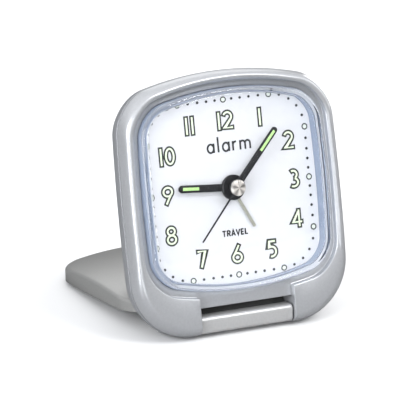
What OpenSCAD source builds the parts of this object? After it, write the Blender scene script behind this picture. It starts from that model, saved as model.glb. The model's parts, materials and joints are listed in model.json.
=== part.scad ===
// Travel alarm clock whose cover folds back behind it and becomes its stand.
// Every piece is drawn in the frame of the dial: x to the right, y up the dial, z out of it towards the
// reader, with the dial's printed face at z = 0. on_face() then leans the clock back on the table.

/* [Stance] */
// Lean of the dial away from the reader, in degrees
lean = 13.8; // [13:0.1:14.5]
// Angle that the cover has been swung from shut, in degrees
cover_swing = 278.7; // [277:0.1:279]
// From the dial's centre back to the middle of the clock's footprint
footprint_setback = 24.3; // [23:0.1:26]

/* [Case] */
// Half of the case's width
case_hw = 37.1; // [36.5:0.1:38]
// Height of the case's top above the dial's centre
case_top = 36.2; // [36:0.1:37]
// Depth of the case's bottom below the dial's centre
case_low = 44.1; // [43.8:0.1:44.5]
// How far the case reaches behind the dial
case_depth = 20; // [20:0.1:21]
// Thickness of the moulded walls
wall = 1.7; // [1.5:0.1:1.9]
// Level of the seam between the two shells
seam_z = 0.4; // [0.3:0.1:0.5]
// Level of the bezel's raised edge
crest_z = 4.9; // [4.8:0.1:5.1]
// Level of the sunk ledge round the lens
ledge_z = 2.85; // [2.7:0.05:2.9]

/* [Lens and dial] */
// Half of the sunk ledge's width
recess_hw = 33.1; // [33:0.1:33.4]
// Half of the lens's width
lens_hw = 31.3; // [31:0.1:31.4]
// Thickness of the lens's side wall
lens_wall = 1.9; // [1.7:0.1:2]
// Level of the lens's crown
lens_crown_z = 7.6; // [7.4:0.1:7.7]
// Radius of the lens's domed front
lens_dome_r = 300; // [280:10:330]
// Thickness of the dial
dial_t = 0.5; // [0.4:0.1:0.6]

/* [Cover] */
// Hinge line's distance below the dial's centre
hinge_low = 40.5; // [40.4:0.1:40.6]
// Hinge line's level
hinge_z = 0.6; // [0.5:0.1:0.7]
// Half of the gap between the hinge ears
ear_gap_hw = 16.1; // [15.8:0.1:16.4]
// Half of the cover's width
cover_hw = 32.8; // [32.6:0.1:32.8]
// Level of the shut cover's crown
cover_crown_z = 11.37; // [11.3:0.01:11.6]
// Radius of the cover's domed face
cover_dome_r = 181; // [175:1:190]
// Thickness of the cover's face
cover_t = 1.3; // [1.2:0.1:1.4]
// Radius of the hinge pin
pin_r = 1; // [0.9:0.05:1.1]

/* [Hands] */
// Clockwise angle of each hand from twelve
hour_angle = 274.8; // [0:0.1:360]
minute_angle = 42.7; // [0:0.1:360]
second_angle = 221.3; // [0:0.1:360]
alarm_angle = 152.3; // [0:0.1:360]
// Length of each hand from the centre
hour_l = 18.4; // [17:0.1:19]
minute_l = 22.7; // [21:0.1:24]
second_l = 20.2; // [19:0.1:24]
alarm_l = 14.5; // [13:0.1:16]
// Width of each hand
hour_w = 2.3; // [2:0.1:2.6]
minute_w = 1.95; // [1.6:0.05:2.2]
second_w = 0.5; // [0.4:0.1:0.6]
alarm_w = 1.0; // [0.8:0.1:1.2]

/* [Movement] */
// Module of the motion work's teeth
motion_m = 0.35; // [0.35:0.01:0.35]
// Centre distance of the third wheel from the hands
third_d = 7.0; // [6.9:0.1:7.1]
// Centre distance of the intermediate wheel from the hands
inter_d = 7.2; // [7.1:0.1:7.3]
// Distance of each setting knob from the hands
knob_d = 11.2; // [11.2:0.1:11.2]
// Radius of the battery
cell_r = 5.25; // [5.1:0.05:5.3]
// Length of the battery with its button
cell_l = 44.5; // [44:0.1:44.6]

/* [Hidden] */

$fn = 64;
eps = 0.01;
gap = 0.2;
run = 0.06;
press = 0.01;

// Stance: the far edge of the cover and the feet under the ears stand on z = 0.
hinge = [0, -hinge_low, hinge_z];
cover_top = 32.6;
cover_rim_z = 3.15;
far_rim = [cover_top + hinge_low, cover_rim_z - hinge_z];
far_edge = [far_rim.x * cos(cover_swing) - far_rim.y * sin(cover_swing) - hinge_low,
    far_rim.x * sin(cover_swing) + far_rim.y * cos(cover_swing) + hinge_z];
dial_height = -far_edge.x * cos(lean) - far_edge.y * sin(lean);

// Bulges of an outline's sides, top and bottom beyond its straight base
case_bulge = [0.9, 6.3, 0.4];
bezel_bulge = [0.9, 5, 4.5];

// Profiles of the shells: level, and inset from the case's widest outline
front_profile = [[seam_z, 0], [1.8, 0.25], [2.9, 0.7], [3.9, 1.45], [4.55, 2.3], [crest_z, 3.45]];
rear_profile = [[-case_depth, 9.3], [0.7 - case_depth, 8.1], [-17.6, 7.1], [-13, 4.8], [-8, 2.4],
    [-5, 1], [-2.5, 0.25], [seam_z, 0]];
rear_floor_z = wall - case_depth;
hollow_profile = [[rear_floor_z, 9.2], [-13, 6.5], [-8, 4.1], [-5, 2.7], [seam_z + 0.1, 1.7]];

// Underside of the rear shell, which slopes up to clear the folded cover
belly_y = -33.4;
belly_slope = 0.3155;
ear_back_z = -6.2;
ear_hw = 26;

// Slot between the ears: its upper side, and the notch in the rim that the cover's tongue passes through
slot_top_y = -35.4;
notch_top_y = -32.05;
notch_deep_y = -36;

// Tongues on the front shell that locate it inside the rear one
tongue_low = [33.2, -6, -3];
tongue_high = [34.5, 6, 1.3];

// Hinge: half lengths of the pin and of its hole, and the knuckle bar's rounded square section
pin_hw = 21;
pin_hole_hw = 21.5;
knuckle_r = 3.1;
knuckle_half = 2.7;
knuckle_gap = 0.3;

// Slope from the dome down to the knuckle bar, as [y, z] points
cover_tongue = [[-30.6, cover_rim_z], [-36, 3], [-37.8, 1], [-39.5, -0.5], [-40.5, 1.6],
    [-38.6, 2.3], [-37, 3.4], [-35.6, 4.7], [-33.5, 5.9], [-30.6, 7]];

// Hands' levels, from the dial outwards
alarm_z = [0.3, 0.55];
hour_z = [0.9, 2.2];
minute_z = [3.2, 3.9];
second_z = [4.35, 4.6];
cap_top_z = 5.9;
cap_r = 2.5;
lume_t = 0.12;

// Hubs and tails
alarm_hub_r = 2.9;
hour_hub_r = 3.9;
minute_hub_r = 2.4;
second_hub_r = 1.4;
second_tail = 4.9;
hour_lume_l = 5.4;
minute_lume_l = 7.6;

// Tubes on the hands' axis, from the inside out
arbor_r = 0.35;
minute_bore_r = arbor_r + run;
minute_r = 0.85;
hour_bore_r = minute_r + run;
hour_r = 1.4;
alarm_bore_r = hour_r + run;
alarm_r = 2;
bush_r = alarm_r + run;

// Layers of the movement: back and front level of each wheel
layer_alarm = [-3, -2.4];
layer_hour = [-4, -3.4];
layer_motion = [-5, -4.4];
layer_centre = [-5.9, -5.4];
layer_third = [-6.8, -6.3];
layer_second = [-7.7, -7.2];
layer_inter = [-8.6, -8.1];
layer_rotor = [-10.4, -9];
plate_z = [-2, -1];
back_plate_z = [-12.6, -11.6];
move_hw = 24;
move_y = [-20, 8];
move_wall = 0.8;
move_screws = [for (x = [-1, 1], y = [move_y[0] + 2, move_y[1] - 2]) [x * (move_hw - 2), y]];

// Motor
stator_z = [-10, -9.2];
coil_x = 20.4;
coil_y = [-10, 2.4];
coil_r = 1.6;
coil_flange_r = 1.9;
coil_flange_t = 0.6;

// Circuit board and what it carries
board = [[-22.6, -6.4, -10.6], [-12.8, 4.2, -9.8]];
crystal_at = [-21, -5.4, -8.7];
crystal_r = 1;
crystal_l = 6;
chip_low = [-18.6, -3, board[1].z + eps];
chip_high = [-14, 1.6, -8.8];

// Tooth counts; a wheel and its pinion share an arbor
minute_pinion_n = 10;
motion_n = 30;
motion_pinion_n = 8;
hour_n = 32;
second_pinion_n = 7;
third_n = 56;
third_pinion_n = 8;
centre_n = 60;
second_n = 40;
inter_pinion_n = 8;
inter_n = 42;
rotor_pinion_n = 7;
alarm_n = 24;
alarm_set_n = 32;
time_set_n = 12;

// Modules that follow from the centre distances
third_m = 2 * third_d / (second_pinion_n + third_n);
centre_m = 2 * third_d / (third_pinion_n + centre_n);
second_m = 2 * inter_d / (second_n + inter_pinion_n);
inter_m = 0.25;
alarm_m = 2 * knob_d / (alarm_n + alarm_set_n);

// Directions and places of the arbors
knob_dir = -42;
time_knob = knob_d * [cos(knob_dir), sin(knob_dir)];
alarm_knob = knob_d * [-cos(knob_dir), sin(knob_dir)];
motion_d = motion_m * (minute_pinion_n + motion_n) / 2;
time_set_d = motion_m * (time_set_n + motion_n) / 2;
motion_dir = knob_dir - acos((pow(motion_d, 2) + pow(knob_d, 2) - pow(time_set_d, 2))
    / (2 * motion_d * knob_d));
motion_at = motion_d * [cos(motion_dir), sin(motion_dir)];
third_dir = 176;
third_at = third_d * [cos(third_dir), sin(third_dir)];
inter_dir = 10;
inter_at = inter_d * [cos(inter_dir), sin(inter_dir)];
rotor_dir = 10;
rotor_at = inter_at + inter_m * (inter_n + rotor_pinion_n) / 2 * [cos(rotor_dir), sin(rotor_dir)];
time_set_dir = atan2(time_knob.y - motion_at.y, time_knob.x - motion_at.x);

// Battery, its box and its door
cell_at = [0.6, 15, -12.6];
cell_bay_r = 5.6;
cell_bay_hw = 24;
door_hw = 25;
door_half_h = 6.4;
door_r = 3;
door_t = 1.6;
door_seat_depth = case_depth - door_t - 0.1;

// Setting knobs in their pockets
knob_r = 5;
pocket_r = 5.6;
pocket_z = -17.9;
knob_top_z = -21.4;
stem_r = 0.9;

// Alarm switch in its slot
switch_y = 3.6;
switch_throw = 4;
slot_hw = 6;

// Buzzer and its sound holes
buzzer_at = [-17, -13];
buzzer_r = 5.5;
buzzer_z = [-11.2, -5];
buzzer_port_r = 1;
sound_hole_r = 0.6;
sound_ring_r = 2.6;

// Case screws, driven in from behind the legs
case_screw = [29.5, -35];
screw_seat_z = -4;
screw_end_z = 2.5;
screw_r = 0.9;
head_r = 1.7;
head_t = 1.2;

// ---- outlines and shells ----

function corner(c, r, start) = [for (i = [0:10]) c + r * [cos(start + 9 * i), sin(start + 9 * i)]];

function between(p, q) = [for (i = [1:4]) p + (q - p) * i / 5];

function last(list) = list[len(list) - 1];

// Rounded rectangle whose four sides bow outwards; rt and rb are its upper and lower corner radii
function outline(hw, top, low, rt, rb, bulge) =
    let (x = hw - bulge.x, yt = top - bulge.y, yb = bulge.z - low, mid = (yt + yb) / 2, half = (yt - yb) / 2)
    let (tr = corner([x - rt, yt - rt], rt, 0), tl = corner([rt - x, yt - rt], rt, 90))
    let (bl = corner([rb - x, yb + rb], rb, 180), br = corner([x - rb, yb + rb], rb, 270))
    [for (p = concat(tr, between(last(tr), tl[0]), tl, between(last(tl), bl[0]), bl,
            between(last(bl), br[0]), br, between(last(br), tr[0])))
        let (v = (p.y - mid) / half, h = p.x / x)
        [p.x + bulge.x * h * (1 - v * v), p.y + (v > 0 ? bulge.y : bulge.z) * v * (1 - h * h)]];

function case_outline(inset) = outline(case_hw - inset, case_top - 0.85 * inset, case_low - 0.85 * inset,
    10 - 0.3 * inset, 18 - 0.6 * inset, case_bulge);

function bezel_outline(hw, top, low, r) = outline(hw, top, low, r, r, bezel_bulge);

function lens_outline(inset) = bezel_outline(lens_hw - inset, 30.9 - 0.8 * inset, 31.1 - 0.8 * inset, 8);

// Solid through outlines stacked from back to front
module loft(profile) {
    rings = [for (level = profile) [for (p = case_outline(level[1])) [p.x, p.y, level[0]]]];
    n = len(rings[0]);
    rows = len(rings);
    sides = [for (k = [0:rows - 2], i = [0:n - 1])
        let (j = (i + 1) % n, a = k * n + i, b = k * n + j)
        each [[a, a + n, b + n], [a, b + n, b]]];
    caps = [[for (i = [0:n - 1]) i], [for (i = [n - 1:-1:0]) (rows - 1) * n + i]];
    polyhedron([for (ring = rings) each ring], concat(sides, caps));
}

module slab(points, z0, z1) {
    translate([0, 0, z0])
        linear_extrude(z1 - z0)
            polygon(points);
}

module box(low, high) {
    translate(low)
        cube(high - low);
}

module disc(at, r, z0, z1) {
    translate([at.x, at.y, z0])
        cylinder(r = r, h = z1 - z0);
}

module ring(at, r, bore, z0, z1) {
    difference() {
        disc(at, r, z0, z1);
        disc(at, bore, z0 - 1, z1 + 1);
    }
}

module rod_x(r, x0, x1, y, z) {
    translate([x0, y, z])
        rotate([0, 90, 0])
            cylinder(r = r, h = x1 - x0);
}

// Prism along x with its section given as [y, z] points
module prism_x(points, x0, x1) {
    translate([x0, 0, 0])
        rotate([90, 0, 90])
            linear_extrude(x1 - x0)
                polygon(points);
}

module mirrored() {
    children();
    mirror([1, 0, 0])
        children();
}

// Puts a piece drawn on the dial's frame on the leaning clock
module on_face() {
    translate([0, -footprint_setback, dial_height])
        rotate([90 - lean, 0, 0])
            children();
}

// ---- shells ----

module above_belly(lift) {
    low = belly_y + lift;
    prism_x([[low, seam_z + 0.2], [low + belly_slope * (seam_z + 25), -25], [60, -25], [60, seam_z + 0.2]],
        -50, 50);
}

module screw_holes(r, z0, z1) {
    mirrored()
        disc(case_screw, r, z0, z1);
}

module front_body() {
    difference() {
        union() {
            loft(front_profile);
            mirrored()
                intersection() {
                    slab(case_outline(0.3), ear_back_z, seam_z + 0.1);
                    box([ear_gap_hw, -50, -10], [ear_hw, belly_y - gap, 5]);
                }
        }
        slab(bezel_outline(recess_hw, 32.9, 33.3, 9), ledge_z, 10);
        slab(lens_outline(-0.15), -10, 10);
        intersection() {
            slab(case_outline(1.8), -1, 1.2);
            box([-50, -32, -2], [50, 50, 2]);
        }
        box([-ear_gap_hw, -60, -20], [ear_gap_hw, slot_top_y, 20]);
        box([-ear_gap_hw, notch_deep_y, -20], [ear_gap_hw, notch_top_y, 1.2 - wall / 2]);
        box([-ear_gap_hw, notch_deep_y, ledge_z], [ear_gap_hw, -30, 20]);
        rod_x(pin_r + press, -pin_hole_hw, pin_hole_hw, hinge.y, hinge.z);
        screw_holes(screw_r + press, -5, screw_end_z + 0.1);
    }
    mirrored()
        box(tongue_low, tongue_high);
}

module front_housing() {
    color("silver")
        difference() {
            on_face()
                front_body();
            box([-100, -100, -20], [100, 100, 0]);
        }
}

module door_outline(margin, z0, z1) {
    half_h = door_half_h + margin;
    translate([0, cell_at.y, 0])
        slab(outline(door_hw + margin, half_h, half_h, door_r, door_r, [0, 0, 0]), z0, z1);
}

module rear_inner_walls() {
    rod_x(cell_bay_r + 1, -cell_bay_hw - 1, cell_bay_hw + 1, cell_at.y, cell_at.z);
    box([-cell_bay_hw - 1, cell_at.y - cell_bay_r - 1, -19], [cell_bay_hw + 1, cell_at.y + cell_bay_r + 1, cell_at.z]);
    door_outline(1, -19, -door_seat_depth + 1.2);
    for (at = [time_knob, alarm_knob])
        disc(at, pocket_r + 1.2, -19, pocket_z + 1.4);
}

module rear_openings() {
    rod_x(cell_bay_r, -cell_bay_hw, cell_bay_hw, cell_at.y, cell_at.z);
    box([-cell_bay_hw, cell_at.y - cell_bay_r, -30], [cell_bay_hw, cell_at.y + cell_bay_r, cell_at.z]);
    door_outline(0.3, -30, -door_seat_depth);
    for (at = [time_knob, alarm_knob]) {
        disc(at, pocket_r, -30, pocket_z);
        disc(at, stem_r + 0.3, -30, 0);
    }
    box([-slot_hw, switch_y - 1.6, -30], [slot_hw, switch_y + 1.6, -10]);
    disc(buzzer_at, sound_hole_r, -30, -15);
    for (a = [0:60:300])
        disc(buzzer_at + sound_ring_r * [cos(a), sin(a)], sound_hole_r, -30, -15);
    screw_holes(head_r + 0.3, -30, screw_seat_z);
    screw_holes(screw_r + 0.3, -10, 5);
}

module rear_housing() {
    color("silver")
        difference() {
            on_face()
                difference() {
                    intersection() {
                        loft(rear_profile);
                        union() {
                            above_belly(0);
                            mirrored()
                                box([ear_hw + gap, -60, ear_back_z], [60, -30, seam_z + 1]);
                        }
                    }
                    difference() {
                        intersection() {
                            loft(hollow_profile);
                            above_belly(wall);
                        }
                        rear_inner_walls();
                    }
                    rear_openings();
                }
            box([-100, -100, -20], [100, 100, 0]);
        }
}

module lens() {
    color([0.8, 0.9, 1, 0.3])
        on_face()
            difference() {
                intersection() {
                    union() {
                        slab(lens_outline(0), -0.2, 10);
                        slab(bezel_outline(recess_hw - 0.2, 32.4, 31.5, 9), 0.1, 1.1);
                    }
                    translate([0, 0, lens_crown_z - lens_dome_r])
                        sphere(r = lens_dome_r, $fn = 200);
                }
                intersection() {
                    slab(lens_outline(lens_wall), -1, 10);
                    translate([0, 0, lens_crown_z - 1.2 - lens_dome_r])
                        sphere(r = lens_dome_r, $fn = 200);
                }
            }
}

module dial() {
    color("white")
        on_face()
            difference() {
                slab(lens_outline(0.2), -0.2 - dial_t, -0.2 - eps);
                disc([0, 0], alarm_r + 0.3, -2, 2);
            }
    color("white")
        on_face()
            difference() {
                slab(lens_outline(lens_wall + 0.1), -0.2 - 2 * eps, 0);
                disc([0, 0], alarm_r + 0.3, -2, 2);
            }
}

// ---- cover and hinge ----

module cover_dome(drop) {
    translate([0, 2.5, cover_crown_z - cover_dome_r])
        sphere(r = cover_dome_r - drop, $fn = 200);
}

module shut_cover() {
    difference() {
        union() {
            intersection() {
                slab(bezel_outline(cover_hw, cover_top, 32.3, 8.8), cover_rim_z, 20);
                cover_dome(0);
            }
            prism_x(cover_tongue, knuckle_gap - ear_gap_hw, ear_gap_hw - knuckle_gap);
            intersection() {
                rod_x(knuckle_r, knuckle_gap - ear_gap_hw, ear_gap_hw - knuckle_gap, hinge.y, hinge.z);
                box(hinge - [50, knuckle_half, knuckle_half], hinge + [50, knuckle_half, knuckle_half]);
            }
        }
        intersection() {
            slab(bezel_outline(cover_hw - 1, cover_top - 1, 31.4, 8), 0, 20);
            cover_dome(cover_t);
        }
        rod_x(pin_r + run, -30, 30, hinge.y, hinge.z);
    }
}

module cover() {
    color("silver")
        on_face()
            translate(hinge)
                rotate([cover_swing, 0, 0])
                    translate(-hinge)
                        shut_cover();
}

module hinge_pin() {
    color("lightsteelblue")
        on_face()
            rod_x(pin_r, -pin_hw, pin_hw, hinge.y, hinge.z);
}

// ---- hands ----

module turned(angle) {
    rotate([0, 0, -angle])
        children();
}

// Straight hand with a round tip
module blade(w, l, z) {
    box([-w / 2, 0, z[0]], [w / 2, l - w / 2, z[1]]);
    disc([0, l - w / 2], w / 2, z[0], z[1]);
}

module hand(w, l, blade_z, hub_r, hub_z, bore) {
    difference() {
        union() {
            blade(w, l, blade_z);
            disc([0, 0], hub_r, hub_z[0], hub_z[1]);
        }
        disc([0, 0], bore, -5, 10);
    }
}

module lume(w, l, start, z) {
    box([-w / 2, start, z], [w / 2, start + l, z + lume_t]);
}

module alarm_hand() {
    color("darkkhaki")
        on_face()
            turned(alarm_angle)
                hand(alarm_w, alarm_l, alarm_z, alarm_hub_r, alarm_z, alarm_r + press);
}

module hour_hand() {
    color("black")
        on_face()
            turned(hour_angle)
                hand(hour_w, hour_l, [hour_z[0] + 0.3, hour_z[1] - 0.4], hour_hub_r, hour_z, hour_r + press);
}

module hour_lume() {
    color("palegreen")
        on_face()
            turned(hour_angle)
                lume(0.95, hour_lume_l, hour_l - 1.3 - hour_lume_l, hour_z[1] - 0.4);
}

module minute_hand() {
    color("black")
        on_face()
            turned(minute_angle)
                hand(minute_w, minute_l, minute_z, minute_hub_r, minute_z, minute_r + press);
}

module minute_lume() {
    color("palegreen")
        on_face()
            turned(minute_angle)
                lume(0.85, minute_lume_l, minute_l - 1.2 - minute_lume_l, minute_z[1]);
}

module second_hand() {
    color("silver")
        on_face()
            turned(second_angle)
                difference() {
                    union() {
                        box([-second_w / 2, -second_tail, second_z[0]], [second_w / 2, second_l, second_z[1]]);
                        disc([0, 0], second_hub_r, second_z[0], second_z[1]);
                    }
                    disc([0, 0], arbor_r + press, 0, 10);
                }
}

module hub_cap() {
    color("tan")
        on_face()
            translate([0, 0, second_z[1]])
                rotate_extrude()
                    polygon([[0, 0.6], [arbor_r + press, 0.6], [arbor_r + press, 0], [cap_r, 0], [cap_r, 0.5],
                        [cap_r - 0.3, 0.8], [0, cap_top_z - second_z[1]]]);
}

// ---- movement ----

// Toothed outline with one tooth centred on the direction phase
function teeth(n, m, phase) =
    let (pitch = 360 / n, root = n < 16 ? 0.28 : 0.3, tip = n < 16 ? 0.12 : 0.13)
    [for (i = [0:n - 1], q = [[-1.2, -root], [0.8, -tip], [0.8, tip], [-1.2, root]])
        let (a = phase + pitch * (i + q[1]))
        (n / 2 + q[0]) * m * [cos(a), sin(a)]];

// Phase that puts a gap of the second gear opposite a tooth of the first, which lies in direction dir from it
function mesh_phase(dir, n_a, phase_a, n_b) =
    dir + 180 - (0.5 - (dir - phase_a) * n_a / 360) * 360 / n_b;

module gear(at, n, m, phase, z) {
    translate([at.x, at.y, 0])
        slab(teeth(n, m, phase), z[0], z[1]);
}

module bored(at, r) {
    difference() {
        children();
        disc(at, r, -30, 20);
    }
}

module alarm_wheel() {
    color("lightgray")
        on_face()
            bored([0, 0], alarm_bore_r) {
                gear([0, 0], alarm_n, alarm_m, 0, layer_alarm);
                disc([0, 0], alarm_r, layer_alarm[1], alarm_z[1]);
            }
}

module hour_wheel() {
    color("white")
        on_face()
            bored([0, 0], hour_bore_r) {
                gear([0, 0], hour_n, motion_m, 0, layer_hour);
                disc([0, 0], hour_r, layer_hour[1], hour_z[1]);
            }
}

module motion_wheel() {
    color("wheat")
        on_face()
            bored(motion_at, 0.5 + run) {
                gear(motion_at, motion_n, motion_m, mesh_phase(motion_dir, minute_pinion_n, 0, motion_n),
                    layer_motion);
                gear(motion_at, motion_pinion_n, motion_m, mesh_phase(motion_dir, hour_n, 0, motion_pinion_n),
                    [layer_motion[1], layer_hour[1]]);
            }
}

module minute_pipe() {
    color("gold")
        on_face()
            bored([0, 0], minute_bore_r) {
                gear([0, 0], minute_pinion_n, motion_m, 0, layer_motion);
                disc([0, 0], minute_r, layer_centre[0] - 0.15, minute_z[1]);
            }
}

module clutch_washer() {
    color("gold")
        on_face()
            ring([0, 0], 2.2, minute_r + press, layer_motion[0] - 0.25, layer_motion[0] - press);
}

module centre_wheel() {
    color("white")
        on_face()
            bored([0, 0], minute_r + run)
                gear([0, 0], centre_n, centre_m, mesh_phase(third_dir + 180, third_pinion_n, 0, centre_n),
                    layer_centre);
}

module third_wheel() {
    color("white")
        on_face() {
            gear(third_at, third_n, third_m, mesh_phase(third_dir, second_pinion_n, 0, third_n), layer_third);
            gear(third_at, third_pinion_n, centre_m, 0, [layer_third[1], layer_centre[1]]);
            disc(third_at, arbor_r, back_plate_z[1] - 0.5, layer_third[0]);
            disc(third_at, arbor_r, layer_centre[1], plate_z[0] + 0.5);
        }
}

module second_wheel() {
    color("white")
        on_face() {
            gear([0, 0], second_n, second_m, 0, layer_second);
            gear([0, 0], second_pinion_n, third_m, 0, [layer_second[1], layer_third[1]]);
            disc([0, 0], arbor_r, back_plate_z[1] - 0.5, layer_second[0]);
            disc([0, 0], arbor_r, layer_third[1], second_z[1] + 0.55);
        }
}

module intermediate_wheel() {
    color("white")
        on_face() {
            gear(inter_at, inter_n, inter_m, 0, layer_inter);
            gear(inter_at, inter_pinion_n, second_m, mesh_phase(inter_dir, second_n, 0, inter_pinion_n),
                [layer_inter[1], layer_second[1]]);
            disc(inter_at, arbor_r, back_plate_z[1] - 0.5, layer_inter[0]);
            disc(inter_at, arbor_r, layer_second[1], plate_z[0] + 0.5);
        }
}

module rotor() {
    color("dimgray")
        on_face() {
            disc(rotor_at, 2.5, layer_rotor[0], layer_rotor[1]);
            gear(rotor_at, rotor_pinion_n, inter_m, mesh_phase(rotor_dir, inter_n, 0, rotor_pinion_n),
                [layer_rotor[1], layer_inter[1]]);
            disc(rotor_at, arbor_r, back_plate_z[1] - 0.5, layer_rotor[0]);
            disc(rotor_at, arbor_r, layer_inter[1], plate_z[0] + 0.5);
        }
}

// Loop of iron from the rotor through the coil and back
module stator() {
    color("slategray")
        on_face()
            difference() {
                union() {
                    disc(rotor_at, 4.4, stator_z[0], stator_z[1]);
                    box([rotor_at.x - 1.5, coil_y[0] - 2, stator_z[0]], [rotor_at.x + 1.5, rotor_at.y, stator_z[1]]);
                    box([rotor_at.x, coil_y[0] - 2, stator_z[0]], [coil_x + 1.5, coil_y[0] - eps, stator_z[1]]);
                    box([rotor_at.x, coil_y[1] + eps, stator_z[0]], [coil_x + 1.5, coil_y[1] + 2, stator_z[1]]);
                }
                disc(rotor_at, 3, -20, 0);
            }
}

module coil() {
    color("orangered")
        on_face()
            translate([coil_x, coil_y[0], (stator_z[0] + stator_z[1]) / 2])
                rotate([-90, 0, 0]) {
                    cylinder(r = coil_r, h = coil_y[1] - coil_y[0]);
                    for (z = [0, coil_y[1] - coil_y[0] - coil_flange_t])
                        translate([0, 0, z])
                            cylinder(r = coil_flange_r, h = coil_flange_t);
                }
}

module arbor_holes(z0, z1) {
    for (at = [third_at, inter_at, rotor_at])
        disc(at, arbor_r + run, z0, z1);
}

module movement_front_plate() {
    color("gainsboro")
        on_face() {
            difference() {
                box([-move_hw, move_y[0], back_plate_z[1]], [move_hw, move_y[1], plate_z[1]]);
                box([move_wall - move_hw, move_y[0] + move_wall, back_plate_z[0]],
                    [move_hw - move_wall, move_y[1] - move_wall, plate_z[0]]);
                disc([0, 0], bush_r, -5, 5);
                arbor_holes(plate_z[0] - 1, plate_z[0] + 0.6);
            }
            disc(motion_at, 0.5, layer_motion[0] - 0.1, plate_z[0] + eps);
            for (at = move_screws)
                ring(at, 1.3, 0.6 + press, back_plate_z[1], plate_z[0] + eps);
        }
}

module movement_back_plate() {
    color("gainsboro")
        on_face()
            difference() {
                box([-move_hw, move_y[0], back_plate_z[0]], [move_hw, move_y[1], back_plate_z[1] - eps]);
                arbor_holes(back_plate_z[1] - 0.6, 0);
                disc([0, 0], arbor_r + run, back_plate_z[1] - 0.6, 0);
                for (at = [time_knob, alarm_knob])
                    disc(at, stem_r + run, -20, 0);
                for (at = move_screws)
                    disc(at, 0.7, -20, 0);
            }
}

module movement_screws() {
    color("lightsteelblue")
        on_face()
            for (at = move_screws) {
                disc(at, 0.6, back_plate_z[0] - 0.5, -8);
                disc(at, 1.2, back_plate_z[0] - 0.7, back_plate_z[0] - eps);
            }
}

module circuit_board() {
    color("darkgreen")
        on_face()
            box(board[0], board[1]);
}

module quartz_crystal() {
    color("silver")
        on_face()
            translate(crystal_at)
                rotate([-90, 0, 0])
                    cylinder(r = crystal_r, h = crystal_l);
}

module chip() {
    color("black")
        on_face()
            box(chip_low, chip_high);
}

module buzzer() {
    color("black")
        on_face()
            difference() {
                disc(buzzer_at, buzzer_r, buzzer_z[0], buzzer_z[1]);
                disc(buzzer_at, buzzer_port_r, buzzer_z[0] - 1, buzzer_z[0] + 1.7);
            }
}

// ---- battery ----

module battery() {
    color("royalblue")
        on_face()
            translate([cell_at.x - cell_l / 2, cell_at.y, cell_at.z])
                rotate([0, 90, 0])
                    rotate_extrude()
                        polygon([[0, 0], [cell_r - 0.6, 0], [cell_r, 0.6], [cell_r, cell_l - 2],
                            [cell_r - 0.7, cell_l - 1.3], [2.8, cell_l - 1.3], [2.7, cell_l], [0, cell_l]]);
}

module positive_contact() {
    x = cell_at.x + cell_l / 2;
    color("silver")
        on_face()
            box([x + eps, cell_at.y - 3.4, cell_at.z - 3.4], [x + 0.4, cell_at.y + 3.4, cell_at.z + 3.4]);
}

// Conical coil of round wire, drawn as a tube swept round a helix
module negative_spring() {
    turns = 3;
    steps = 36;
    sides = 6;
    wire_r = 0.3;
    x0 = cell_at.x - cell_l / 2 - wire_r - 0.02;
    length = x0 + cell_bay_hw - wire_r - 0.05;
    spine = [for (i = [0:steps]) let (u = i / steps, a = 360 * turns * u, r = 2.4 + 1.8 * u)
        [x0 - length * u, cell_at.y + r * cos(a), cell_at.z + r * sin(a)]];
    points = [for (i = [0:steps]) let (a = 360 * turns * i / steps) each
        [for (k = [0:sides - 1]) let (b = 360 * k / sides)
            spine[i] + wire_r * [sin(b), cos(b) * cos(a), cos(b) * sin(a)]]];
    skin = [for (i = [0:steps - 1], k = [0:sides - 1])
        let (a = i * sides + k, b = i * sides + (k + 1) % sides)
        each [[a, b, b + sides], [a, b + sides, a + sides]]];
    caps = [[for (k = [sides - 1:-1:0]) k], [for (k = [0:sides - 1]) steps * sides + k]];
    color("silver")
        on_face()
            polyhedron(points, concat(skin, caps));
}

module battery_door() {
    z = -case_depth;
    color("silver")
        on_face() {
            door_outline(0, z, z + door_t);
            for (x = [-6:1.5:6])
                box([x - 0.35, cell_at.y - 3, z - 0.35], [x + 0.35, cell_at.y + 3, z + eps]);
        }
}

// ---- controls ----

module setting_gear(at, n, m, phase, z) {
    color("whitesmoke")
        on_face() {
            gear(at, n, m, phase, z);
            disc(at, stem_r, pocket_z - 1.5, z[0]);
        }
}

module knob(at) {
    grip = [for (a = [0:3.75:356.25]) (knob_r + 0.18 * cos(24 * a)) * [cos(a), sin(a)]];
    color("dimgray")
        on_face()
            translate([at.x, at.y, 0])
                difference() {
                    union() {
                        slab(grip, knob_top_z + 0.3, pocket_z - 0.3);
                        disc([0, 0], knob_r - 0.5, knob_top_z, pocket_z - 0.3);
                    }
                    disc([0, 0], stem_r + press, pocket_z - 1.6, 0);
                }
}

module time_set_gear() {
    setting_gear(time_knob, time_set_n, motion_m,
        mesh_phase(time_set_dir, motion_n, mesh_phase(motion_dir, minute_pinion_n, 0, motion_n), time_set_n),
        layer_motion);
}

module time_set_knob() {
    knob(time_knob);
}

module alarm_set_gear() {
    setting_gear(alarm_knob, alarm_set_n, alarm_m, mesh_phase(180 - knob_dir, alarm_n, 0, alarm_set_n),
        layer_alarm);
}

module alarm_set_knob() {
    knob(alarm_knob);
}

module alarm_switch() {
    color("dimgray")
        on_face() {
            box([-4.4, switch_y - 1.3, -case_depth - 0.9], [4.4 - switch_throw, switch_y + 1.3, rear_floor_z + 0.31]);
            box([-slot_hw - 0.2 - switch_throw, switch_y - 2.4, rear_floor_z + 0.3],
                [slot_hw + 0.2, switch_y + 2.4, rear_floor_z + 1.2]);
        }
}

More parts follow.
